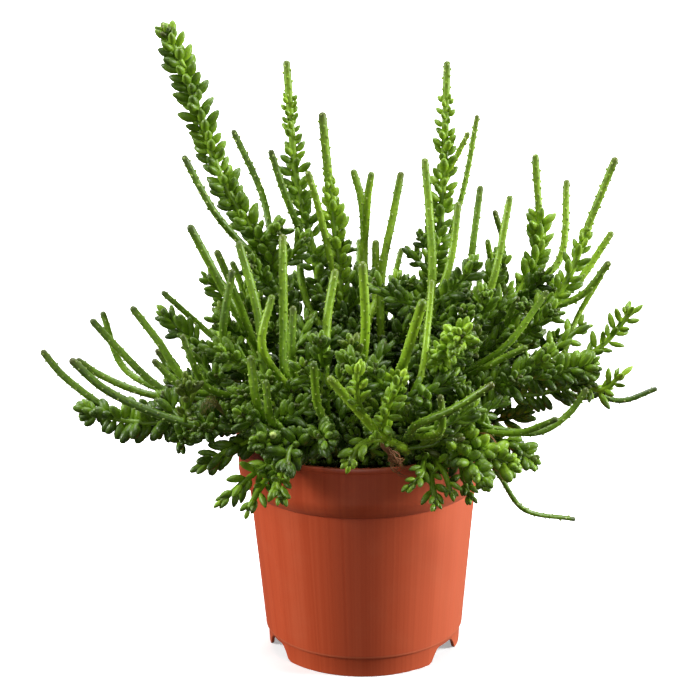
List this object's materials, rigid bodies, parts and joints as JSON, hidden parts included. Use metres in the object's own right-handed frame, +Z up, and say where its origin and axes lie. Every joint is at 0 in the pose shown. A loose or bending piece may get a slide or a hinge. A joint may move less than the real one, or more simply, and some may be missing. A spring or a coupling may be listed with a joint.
{
  "type": "potted rhipsalis",
  "caption": "Branching jungle cactus with upright finger-like shoots and stems clad with short grain-shaped joints, growing over the rim of a round nursery pot.",
  "frame": {"origin": "on the pot's axis, in the plane of its feet: the bottom centre of the whole box", "axes": "+Z up along the pot's axis, the front of the plant towards -Y, +X to the viewer's right"},
  "size_m": [0.296, 0.2123, 0.3001],
  "materials": {
    "terracotta_plastic": "satin moulded plastic, faintly ribbed",
    "soil": "dark crumbly potting soil, matt",
    "plant_green": "waxy green plant skin, satin"
  },
  "bodies": {
    "root": {"pot": "terracotta_plastic", "soil": "soil", "spire_left_tall": "plant_green", "spire_left": "plant_green", "spire_middle": "plant_green", "spire_right": "plant_green", "spire_right_far": "plant_green", "spire_right_bowed": "plant_green", "spray_right": "plant_green", "fingers_left_high": "plant_green", "finger_left_thick": "plant_green", "finger_middle_thick": "plant_green", "fingers_middle_front": "plant_green", "finger_middle": "plant_green", "fingers_middle_pair": "plant_green", "finger_middle_back": "plant_green", "fingers_right_high": "plant_green", "fingers_right_back": "plant_green", "fingers_right_curved": "plant_green", "finger_bright": "plant_green", "berries_right_back": "plant_green", "berries_right": "plant_green", "berries_right_low": "plant_green", "arm_right_long": "plant_green", "arm_right_front": "plant_green", "arm_right_hanging": "plant_green", "bunch_right": "plant_green", "bunch_right_low": "plant_green", "arm_front": "plant_green", "spray_front_right": "plant_green", "spray_middle": "plant_green", "fingers_front_left": "plant_green", "bunch_front": "plant_green", "bunch_front_left": "plant_green", "spray_front_left": "plant_green", "spray_left": "plant_green", "arm_left_long": "plant_green", "arm_left_front": "plant_green", "arms_left": "plant_green", "arm_left_bowed": "plant_green", "arms_left_high": "plant_green", "clad_left": "plant_green", "clad_left_high": "plant_green", "bunch_left": "plant_green", "rosette_right": "plant_green", "back_arm_01": "plant_green", "back_arm_02": "plant_green", "back_arm_03": "plant_green", "back_arm_04": "plant_green", "back_arm_05": "plant_green", "back_bunch_06": "plant_green", "back_bunch_07": "plant_green", "back_bunch_08": "plant_green", "back_bunch_09": "plant_green", "back_clad_10": "plant_green", "back_clad_11": "plant_green", "back_clad_12": "plant_green", "back_clad_13": "plant_green", "back_clad_14": "plant_green", "back_fingers_15": "plant_green"}
  },
  "joints": []
}
